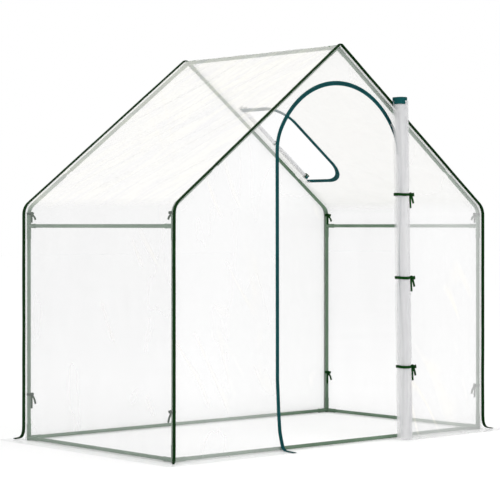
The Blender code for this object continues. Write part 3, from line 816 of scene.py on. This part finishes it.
def spiral_roll(name, ends, radii, turns, nips, body, cad_node, wobble, crease, lean):
    """Film wound on itself from the inner of two radii to the outer.

    nips are the shares of its length where a tie pulls it in, and lean shifts its inner turns.
    """
    start, finish = ends
    inner, outer = radii
    axis = (finish - start).normalized()
    length = (finish - start).length
    side = axis.orthogonal().normalized()
    other = axis.cross(side)
    rows, cols = max(12, int(length / 0.016)), int(turns * 30)
    points, uvs = [], []
    for i in range(rows + 1):
        share = i / rows
        nip = max(math.exp(-((share - n) * length / NIP_LENGTH) ** 2) for n in nips)
        pull = 1.0 - NIP_DEPTH * nip
        for j in range(cols + 1):
            t = j / cols
            angle = t * turns * 2 * math.pi + 0.25 * share
            x, y = math.cos(angle), math.sin(angle)
            radius = inner + (outer - inner) * t
            radius += wobble * noise.noise(Vector((x * 1.6, y * 1.6, share * length * 5 + t)))
            fold = ridged(angle * 0.5 + t, share * length, 0.42, 0.22, 5.0)
            radius -= crease * fold * (0.4 + t)
            radius = min(radius, outer) * (pull if t > 0.2 else 1.0 - (1.0 - pull) * 0.7)
            along = share * length
            if share in (0.0, 1.0):
                far = share == 1.0
                end = 0.004 * noise.noise(Vector((angle * 0.4, 3.0 * t, 1.0 if far else 2.0)))
                along = min(max(along + (end if far else -end), 0.0), length)
            centre = start + axis * along + Vector(lean) * smoothstep(1.0 - t, 0.0, 0.7)
            points.append(centre + (side * x + other * y) * radius)
            uvs.append((t, share))
    faces = grid_faces(rows, cols, turned=True)
    piece = add(name, mesh_of(name, points, faces, uvs), ROLL_FILM, body, "clear_film")
    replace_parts(piece, cad_node)


def roll_zip_band(name, centre, axis, inner, outer, turns, height, body):
    """The flap's own zip tape, wound with it: a spiral of tape at the roll's end."""
    side = axis.orthogonal().normalized()
    other = axis.cross(side)
    cols = int(turns * 28)
    line, ups = [], []
    for j in range(cols + 1):
        t = j / cols
        angle = t * turns * 2 * math.pi
        x, y = math.cos(angle), math.sin(angle)
        radius = inner + (outer - inner) * t
        radius += 0.0006 * noise.noise(Vector((x * 2, y * 2, t * 3)))
        radial = side * x + other * y
        lift = axis * (0.0025 * noise.noise(Vector((angle * 0.6, 0, 4))))
        line.append(centre + radial * radius + lift)
        ups.append(radial)
    tape(name, line, [axis] * len(line), ups, height, body=body)


def door_roll():
    """The wound door with its zip tape wound into the top and running down inside it."""
    foot = Vector((ROLL_FOOT[0], ROLL_Y, ROLL_FOOT[1]))
    top = Vector((ROLL_TOP[0], ROLL_Y, ROLL_TOP[1]))
    run = (top - foot).normalized()
    length = (top - foot).length
    nips = [(z - foot.z) / (top.z - foot.z) for z in DOOR_TIES]
    spiral_roll("door_flap_rolled", (foot, top - run * 0.016), (0.021, 0.0354), 3.6, nips,
                "door_flap", "door_flap_roll", 0.0008, 0.0016, (0.0085, -0.0070, 0.0))
    band = top - run * 0.0165
    roll_zip_band("door_flap_zip_band", band, run, 0.012, 0.0350, 3.6, 0.030, "door_flap")
    core = []
    for i in range(41):
        place = foot + run * (0.02 + (length - 0.06) * i / 40)
        place += Vector((0.006 * math.sin(i * 0.23), 0.004 * math.cos(i * 0.31), 0))
        core.append(place + Vector((0.004, 0.012, 0.0)))
    side = SEEN_ACROSS.normalized()
    up = side.cross(run).normalized()
    tape("door_flap_zip_core", core, [side] * 41, [up] * 41, 0.006, body="door_flap")


def window_roll_ends():
    return [on_slope(s + WINDOW_SEAM, WINDOW_ROLL_Y, WINDOW_ROLL_H) for s in WINDOW_S[::-1]]


def window_roll():
    """The wound window flap with a turn of its zip tape at both ends."""
    low, high = window_roll_ends()
    nips = list(WINDOW_TIE_SHARES.values())
    spiral_roll("window_flap_rolled", (low, high), (0.0075, 0.0116), 4.4, nips,
                "window_flap", "window_flap_roll", 0.0001, 0.0, (0, 0, 0))
    run = (high - low).normalized()
    for end, centre in (("foot", low + run * 0.008), ("top", high - run * 0.008)):
        name = f"window_flap_zip_{end}"
        roll_zip_band(name, centre, run, 0.004, 0.0112, 2.2, 0.014, "window_flap")


def web(name, columns, rows, column_at):
    """The first stretch of a flap, from its seam to its roll, drawn out as the flap unrolls.

    column_at gives, for a share of the way from the seam, the function that places a row.
    """
    points, uvs = [], []
    for i in range(columns + 1):
        place = column_at(i / columns)
        for j in range(rows + 1):
            points.append(place(j / rows))
            uvs.append((i / columns, j / rows))
    mesh = mesh_of(name, points, grid_faces(columns, rows), uvs)
    return add(name, mesh, ROLL_FILM, None, "clear_film")


def webs():
    """A web for each flap, shaped to follow its opening's edge when it is drawn out."""
    seam_x, near_x, foot = DOOR_X + DOOR_HALF - 0.002, 0.3430, 0.006

    def door_column(t):
        x = seam_x + (near_x - seam_x) * t
        top = door_top(x - DOOR_TRAVEL * smoothstep(t)) - DOOR_WEB_INSET
        face = DOOR_WEB_Y - 0.010 * smoothstep(t, 0.55, 1.0)

        def place(share):
            sway = noise.noise(Vector((t * 5, share * 4, 2.0)))
            y = face - 0.0012 * math.sin(t * math.pi) * sway
            return x, y, foot + (top - foot) * share

        return place

    drawn = web("door_flap_web", 28, 40, door_column)
    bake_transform(drawn)

    seam_y, near_y = WINDOW_Y[1] + 0.008, WINDOW_Y[1] + 0.001

    def window_column(t):
        y = seam_y + (near_y - seam_y) * t
        low, high = window_span(y - WINDOW_TRAVEL * smoothstep(t))
        return lambda share: on_slope(low + (high - low) * share, y, 0.0136 + 0.0012 * t)

    drawn = web("window_flap_web", 20, 30, window_column)
    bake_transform(drawn)


def crossings(line, key):
    """The values at which a line of (key, value) passes a key."""
    found = []
    for (k1, v1), (k2, v2) in zip(line, line[1:]):
        if min(k1, k2) <= key <= max(k1, k2) and abs(k2 - k1) > 1e-9:
            found.append(v1 + (v2 - v1) * (key - k1) / (k2 - k1))
    return found


def door_top(x):
    """The doorway's height at x."""
    return max(crossings(DOOR_LOOP, x), default=1.24)


def window_span(y):
    """The window's lowest and highest s at y or at the nearest y it has, a little inside."""
    found = crossings([(y, s) for s, y in WINDOW_LOOP], y)
    if len(found) < 2:
        return window_span(min(max(y, WINDOW_Y[0] + 0.004), WINDOW_Y[1] - 0.001))
    return min(found) + 0.002, max(found) - 0.002


# --- ties


def ribbon(path, sides, width, thickness):
    """One flat ribbon as (points, faces, uvs)."""
    w, t = width / 2, thickness / 2
    profile = ((-w, 0), (-w * 0.9, t), (w * 0.9, t), (w, 0), (w * 0.9, -t), (-w * 0.9, -t))
    points, uvs, travel = [], [], 0.0
    for i, place in enumerate(path):
        if i:
            travel += (place - path[i - 1]).length
        run = heading(path, i)
        side = (sides[i] - run * sides[i].dot(run)).normalized()
        up = side.cross(run)
        for a, b in profile:
            points.append(place + side * a + up * b)
            uvs.append((travel, a))
    return points, tube_faces(len(path), len(profile)), uvs


def smooth(points, steps=6):
    """A smooth line through points (Catmull-Rom)."""
    pts = [Vector(p) for p in points]
    pts = [pts[0] * 2 - pts[1]] + pts + [pts[-1] * 2 - pts[-2]]
    out = []
    for p0, p1, p2, p3 in zip(pts, pts[1:], pts[2:], pts[3:]):
        for k in range(steps):
            t = k / steps
            square = (2 * p0 - 5 * p1 + 4 * p2 - p3) * t * t
            cube = (3 * p1 - p0 - 3 * p2 + p3) * t**3
            out.append(0.5 * ((2 * p1) + (p2 - p0) * t + square + cube))
    return out + [pts[-2]]


def turned(count):
    """The angles of a full turn in count steps."""
    return [2 * math.pi * i / count for i in range(count + 1)]


def tie(name, place, turn, radius, width, tails, loops, knot, nodes, squash=None, reach=1.0,
        flat=(1.0, 0.25, 0.0)):
    """A ribbon tied round something.

    Local X points out at the knot; tails and loops are lists of local points, and flat is the
    direction across the tails.
    """
    circle = []
    for angle in turned(32):
        bulge = angle if angle < 3.2 else 6.283 - angle
        wave = 0.0005 * math.sin(angle * 3 + 1) + 0.002 * math.exp(-((bulge / 0.35) ** 2))
        lift = 0.0012 * math.sin(angle * 2 + 0.6) * reach
        out = radius + wave
        circle.append(Vector((math.cos(angle) * out, math.sin(angle) * out, lift)))
    pieces = [ribbon(circle, [Vector((0, 0, 1))] * 33, width, 0.0010)]
    x = radius + knot * 0.55
    middle = Vector((x, 0, 0))
    ball = [(0.62 * math.cos(a), 0.30 * math.sin(a * 2), 0.70 * math.sin(a)) for a in turned(24)]
    ball = [middle + Vector(p) * knot for p in ball]
    pieces.append(ribbon(ball, [Vector((0.2, 1, 0))] * 25, width * 0.95, 0.0016))
    wrap = [(0.10, 0.62 * math.cos(a), 0.52 * math.sin(a)) for a in turned(20)]
    wrap = [middle + Vector(p) * knot for p in wrap]
    pieces.append(ribbon(wrap, [Vector((1, 0.1, 0))] * 21, width * 0.75, 0.0016))
    first, last = Vector(flat), Vector(flat) + Vector((0.2, 0.35, 0.1))
    first.normalize()
    last.normalize()
    for group, share in ((tails, 0.85), (loops, 0.8)):
        for way in group:
            path = smooth([(x, 0, 0), *way])
            twist = [first.lerp(last, i / len(path)) for i in range(len(path))]
            pieces.append(ribbon(path, twist, width * share, 0.0009))
    points, faces, uvs = [], [], []
    for p, f, u in pieces:
        shift = len(points)
        points += p
        faces += [tuple(shift + i for i in face) for face in f]
        uvs += u
    mesh = mesh_of(name, points, faces, uvs)
    mesh.transform(turn)
    mesh.transform(Matrix.Translation(place))
    obj = add(name, mesh, RIBBON, ROOT, "green_ribbon")
    if nodes:
        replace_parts(obj, *nodes)
    if squash:
        joint, axis, anchor = squash
        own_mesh(obj)
        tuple(axis)
        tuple(anchor)


def post_ties():
    """Two ties on each post, upper and lower, knotted on the inside."""
    shapes = random.Random(POST_TIE_SEED)
    large = [(0.018, -0.006, 0.006), (0.0220, -0.012, 0.0065)]
    large += [(0.0210, -0.013, -0.003), (0.0155, -0.002, -0.002)]
    small = [(0.014, 0.007, 0.004), (0.013, 0.0120, 0.003)]
    small += [(0.012, 0.0105, -0.005), (0.015, 0.001, -0.001)]
    for side, sx in SIDES.items():
        for end, sy in ENDS.items():
            for level, z in zip(("upper", "lower"), POST_TIES):
                angle = math.atan2(-sy * math.cos(0.35), -sx * math.sin(0.35))
                turn = Matrix.Rotation(angle, 4, "Z")
                drop = shapes.uniform(0.9, 1.1) * (0.72 if level == "upper" else 1.0)
                flat = turn.inverted() @ SEEN_ACROSS
                if flat.x <= 0:
                    flat = -flat
                long = [(0.0150, -0.002, -0.008), (0.0165, -0.0035, -0.030 * drop)]
                long.append((0.0170, -0.004, -0.058 * drop))
                short = [(0.0175, 0.003, -0.007), (0.0225, 0.009, -0.022 * drop)]
                short.append((0.0250, 0.013, -0.040 * drop))
                tie(f"tie_post_{level}_{end}_{side}", (sx * POST_X, sy * POST_Y, z), turn,
                    TUBE_R + 0.0014, 0.010, [long, short], [large, small], 0.0085,
                    [f"post_tie_{level}_{end}_{side}"], reach=0.4, flat=flat)


def door_ties():
    """Three ties round the rolled door."""
    lean = (ROLL_TOP[0] - ROLL_FOOT[0]) / (ROLL_TOP[1] - ROLL_FOOT[1])
    shapes = random.Random(DOOR_TIE_SEED)
    turn = Matrix.Rotation(math.radians(-41), 4, "Z")
    r = ROLL_R
    loop = [(r + 0.009, 0.005, 0.005), (r + 0.0150, 0.009, 0.004)]
    loop += [(r + 0.0165, 0.009, -0.006), (r + 0.008, 0.003, -0.004)]
    for level, z in zip(("top", "middle", "bottom"), DOOR_TIES):
        place = Vector((ROLL_FOOT[0] + lean * (z - ROLL_FOOT[1]), ROLL_Y, z))
        drop = shapes.uniform(0.93, 1.07)
        long = [(r + 0.0015, -0.001, -0.012), (r + 0.002, -0.002, -0.032 * drop)]
        long.append((r + 0.0035, -0.001, -0.058 * drop))
        short = [(r + 0.008, 0.004, -0.008), (r + 0.0125, 0.006, -0.022)]
        short.append((r + 0.0165, 0.008, -0.038 * drop))
        tie(f"tie_door_{level}", place, turn, 0.0335, 0.012, [long, short], [loop], 0.0110,
            [f"door_tie_{level}"],
            squash=("door_flap_travel", (0, 1, 0), (0, -(FACE_OUT + 0.003), 0)))


def window_ties():
    """Three ties round the rolled window flap; the CAD has the outer two."""
    low, high = window_roll_ends()
    run = (high - low).normalized()
    up = Vector((math.sin(SLOPE), 0, math.cos(SLOPE)))
    base = Matrix((Vector((0, -1, 0)), up, run)).transposed().to_4x4()
    turn = base @ Matrix.Rotation(math.radians(35), 4, "Z")
    tails = [[(0.0135, 0.001, -0.006), (0.0140, 0.000, -0.012), (0.0135, -0.001, -0.019)]]
    loop = [(0.0150, 0.003, 0.002), (0.0180, 0.006, 0.002)]
    loop += [(0.0170, 0.005, -0.003), (0.0135, 0.001, -0.002)]
    sizes = {"foot": (0.006, 0.0025), "middle": (0.007, 0.004), "top": (0.009, 0.0065)}
    for level, (width, knot) in sizes.items():
        tie(f"tie_window_{level}", low.lerp(high, WINDOW_TIE_SHARES[level]), turn, 0.0113, width,
            tails, [loop] if level == "top" else [], knot,
            [f"window_tie_{level}"] if level != "middle" else [],
            squash=("window_flap_travel", tuple(up), tuple(on_slope(0.5, 0.4, 0.0135))), reach=0.3)


# --- sliders


def slider(name, body, node, place, turn):
    """A zip slider: a waisted body with a bridge, and a pull."""
    bm = bmesh.new()

    def plate(half, low, high, closing=()):
        """A flat plate, mirrored in X, from its right-hand outline top to bottom."""
        points = [(-x, z) for x, z in half[:1]] + list(half) + list(closing)
        points += [(-x, z) for x, z in half[:0:-1]]
        bottom = [bm.verts.new((x, low, z)) for x, z in points]
        top = [bm.verts.new((x, high, z)) for x, z in points]
        bm.faces.new(bottom)
        bm.faces.new(top[::-1])
        for i in range(len(points)):
            j = (i + 1) % len(points)
            bm.faces.new((bottom[j], bottom[i], top[i], top[j]))

    waisted = [(0.0042, 0.0065), (0.0050, 0.0030), (0.0036, -0.0030), (0.0030, -0.0065)]
    plate(waisted, 0.0004, 0.0015)
    plate(waisted, -0.0015, -0.0004)
    plate([(0.0010, 0.0060), (0.0010, -0.0050)], -0.0004, 0.0004)
    for z0, z1, low, high in (
        (0.004, 0.0025, -0.0026, -0.0015),
        (0.0025, -0.0025, -0.0026, -0.0020),
        (-0.0025, -0.004, -0.0026, -0.0015),
    ):
        plate([(0.0009, z0), (0.0009, z1)], low, high)
    pull = [(0.0018, 0.0), (0.0026, -0.006), (0.0027, -0.022), (0.0019, -0.0255)]
    plate(pull, -0.0026, -0.0018, [(0.0, -0.0265)])
    bmesh.ops.recalc_face_normals(bm, faces=bm.faces)
    mesh = bpy.data.meshes.new(name)
    bm.to_mesh(mesh)
    bm.free()
    obj = add(name, mesh, METAL, None, "zip_slider_metal", smooth=False)
    obj.matrix_world = turn
    obj.location = place
    bevel = obj.modifiers.new("edges", "BEVEL")
    bevel.width, bevel.segments = 0.0003, 2
    bevel.limit_method = "ANGLE"
    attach(obj, body)
    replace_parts(obj, node)


def sliders():
    angle = math.radians(34)
    x, z = DOOR_X + ARCH_R * math.cos(angle), ARCH_Z + ARCH_R * math.sin(angle)
    turn = Matrix.Rotation(math.radians(-30), 4, "Y")
    slider("zip_door_slider", "door_slider", "door_zip_slider", Vector((x, -0.5130, z)), turn)
    normal = Vector((math.sin(SLOPE), 0, math.cos(SLOPE)))
    along = Vector((0, -1, 0))
    turn = Matrix((normal.cross(along), normal, along)).transposed().to_4x4()
    place = on_slope(WINDOW_S[1], WINDOW_Y[1] - 0.012, 0.0082)
    slider("zip_window_slider", "window_slider", "window_zip_slider", place, turn)


# --- stage


def stage():
    """A white studio: paper floor, even world light, a soft key and a weak fill."""
    scene = bpy.context.scene
    scene.world = bpy.data.worlds.new("studio")
    scene.world.use_nodes = True
    background = scene.world.node_tree.nodes["Background"]
    background.inputs["Color"].default_value = (1.0, 1.0, 1.0, 1)
    background.inputs["Strength"].default_value = 1.0

    m = Nodes("floor_paper", (0.90, 0.90, 0.90), 0.85)
    m.shader.inputs["Emission Color"].default_value = (1, 1, 1, 1)
    m.shader.inputs["Emission Strength"].default_value = 0.10
    m.to("Base Color", m.ramp(m.noise(1.2, 2.0), 0.885, 0.905))
    size = 40.0
    corners = [(-size, -size, 0), (size, -size, 0), (size, size, 0), (-size, size, 0)]
    obj = add("floor", mesh_of("floor", corners, [(0, 1, 2, 3)]), m.material, None)
    obj.location.z = -0.0005

    for name, place, size, power, colour in (
        ("key", (1.5, -4.0, 6.5), 5.0, 75, (1.0, 0.995, 0.985)),
        ("fill", (-5.5, -1.5, 4.0), 3.0, 8, (1, 1, 1)),
    ):
        light = bpy.data.lights.new(name, "AREA")
        light.size, light.energy, light.color = size, power, colour
        aim = Vector((0, 0, 0.8)) - Vector(place)
        put(light, name, place).rotation_euler = aim.to_track_quat("-Z", "Y").to_euler()

    camera = bpy.data.cameras.new("camera")
    camera.lens, camera.sensor_width, camera.shift_y = 130.2, 36.0, -0.05
    camera.clip_start, camera.clip_end = 0.5, 200.0
    scene.camera = put(camera, "camera", (-5.322, -6.007, 0.929))
    scene.camera.rotation_euler = (math.pi / 2, 0, math.atan2(-0.6592, 0.7518))
    scene.view_settings.view_transform = "Standard"
    scene.cycles.transparent_max_bounces = 32


def paint_frame():
    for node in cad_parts.values():
        node.data.materials.clear()
        node.data.materials.append(STEEL)


stage()
paint_frame()
wrap_sheet()
gable_sheets()
bindings()
door_zip()
window_zip()
door_roll()
window_roll()
webs()
post_ties()
door_ties()
window_ties()
sliders()
